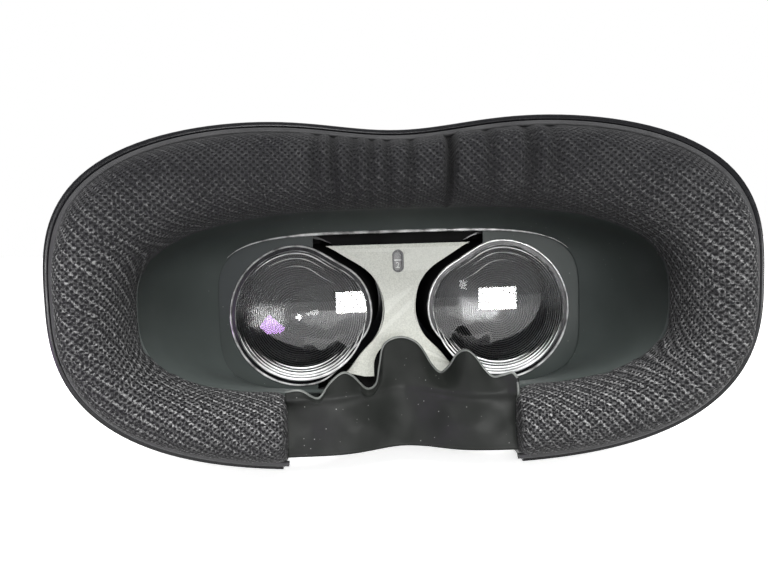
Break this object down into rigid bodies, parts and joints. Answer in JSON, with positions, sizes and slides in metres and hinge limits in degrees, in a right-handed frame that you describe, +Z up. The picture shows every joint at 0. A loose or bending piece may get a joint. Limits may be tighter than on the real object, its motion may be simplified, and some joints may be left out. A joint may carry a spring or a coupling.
{
  "type": "video goggles",
  "caption": "Head-worn video goggles with a padded face interface, nose flap, adjustable eyepieces, display, battery and strap lugs.",
  "frame": {"origin": "under the middle of the goggles, on the surface they stand on", "axes": "+X to the wearer's right, +Y away from the face, +Z up"},
  "size_m": [0.1734, 0.1191, 0.0989],
  "materials": {
    "shell": "satin moulded",
    "gloss_black": "polished",
    "black_plastic": "moulded",
    "slate_shroud": "soft-touch matte",
    "grey_plate": "fine moulded texture",
    "knit_fabric": "spacer knit over foam",
    "silicone": "matte",
    "clear_lens": "clear moulded optic with fine concentric grooves",
    "steel": "ground",
    "alloy": "stamped",
    "circuit_board": "solder mask",
    "battery_wrap": "heat-shrunk film",
    "display_glass": "polished",
    "pale_nylon": "moulded",
    "light_pipe": "diffusing"
  },
  "bodies": {
    "headset": {"housing": "shell", "front_cover": "shell", "camera_1": "gloss_black", "camera_2": "gloss_black", "camera_3": "gloss_black", "camera_4": "gloss_black", "rear_frame": "black_plastic", "display_frame": "black_plastic", "processor": "black_plastic", "blower_housing": "black_plastic", "power_switch": "black_plastic", "audio_jack": "black_plastic", "lens_plate": "grey_plate", "index_window": "clear_lens", "guide_rod_lower": "steel", "guide_rod_upper": "steel", "gear_pin": "steel", "lug_pin_left": "steel", "lug_pin_right": "steel", "usb_port": "steel", "rear_screw_1": "steel", "rear_screw_2": "steel", "rear_screw_3": "steel", "rear_screw_4": "steel", "board_screw_1": "steel", "board_screw_2": "steel", "board_screw_3": "steel", "board_screw_4": "steel", "mid_frame": "alloy", "heat_sink": "alloy", "rail_bracket_left": "alloy", "rail_bracket_right": "alloy", "main_board": "circuit_board", "battery": "battery_wrap", "display_panel": "display_glass", "status_light": "light_pipe"},
    "face_interface": {"face_frame": "gloss_black", "inner_shroud": "slate_shroud", "face_cushion": "knit_fabric", "nose_flap": "silicone", "hook_tape_right": "black_plastic", "hook_tape_left": "black_plastic", "hook_tape_top": "black_plastic"},
    "carriage_left": {"barrel_left": "black_plastic", "lens_left": "clear_lens", "rack_left": "pale_nylon"},
    "carriage_right": {"barrel_right": "black_plastic", "lens_right": "clear_lens", "rack_right": "pale_nylon"},
    "spacing_gear": {"spacing_gear": "pale_nylon"},
    "blower_wheel": {"blower_wheel": "black_plastic"},
    "strap_lug_left": {"strap_lug_left": "shell"},
    "strap_lug_right": {"strap_lug_right": "shell"},
    "power_button": {"power_button": "gloss_black"},
    "volume_rocker": {"volume_rocker": "gloss_black"}
  },
  "joints": [
    {"name": "face_interface_pull", "type": "slide", "parent": "headset", "child": "face_interface", "axis": [0, -1, 0], "range_m": [0, 0.04]},
    {"name": "carriage_left_slide", "type": "slide", "parent": "headset", "child": "carriage_left", "axis": [1, 0, 0], "range_m": [-0.0025, 0.0025]},
    {"name": "carriage_right_slide", "type": "slide", "parent": "headset", "child": "carriage_right", "axis": [1, 0, 0], "range_m": [-0.0025, 0.0025]},
    {"name": "spacing_gear_turn", "type": "hinge", "parent": "headset", "child": "spacing_gear", "pos_m": [0, 0.0054, 0.0715], "axis": [0, 1, 0], "range_deg": [-36, 36]},
    {"name": "blower_spin", "type": "hinge", "parent": "headset", "child": "blower_wheel", "pos_m": [0.034, 0.0415, 0.0505], "axis": [0, 1, 0], "continuous": true},
    {"name": "strap_lug_left_turn", "type": "hinge", "parent": "headset", "child": "strap_lug_left", "pos_m": [-0.084, 0.0285, 0.0525], "axis": [1, 0, 0], "range_deg": [-20, 20]},
    {"name": "strap_lug_right_turn", "type": "hinge", "parent": "headset", "child": "strap_lug_right", "pos_m": [0.084, 0.0285, 0.0525], "axis": [1, 0, 0], "range_deg": [-20, 20]},
    {"name": "power_press", "type": "slide", "parent": "headset", "child": "power_button", "axis": [-1, 0, 0], "range_m": [0, 0.0008], "stiffness_N_per_m": 600},
    {"name": "volume_rock", "type": "hinge", "parent": "headset", "child": "volume_rocker", "pos_m": [0.03, 0.0205, 0.0934], "axis": [0, 1, 0], "range_deg": [-2.5, 2.5], "stiffness_Nm_per_rad": 0.6}
  ],
  "couplings": [
    {"joint": "carriage_right_slide", "follows": "carriage_left_slide", "ratio": -1},
    {"joint": "spacing_gear_turn", "follows": "carriage_left_slide", "rad_per_m": -250}
  ]
}
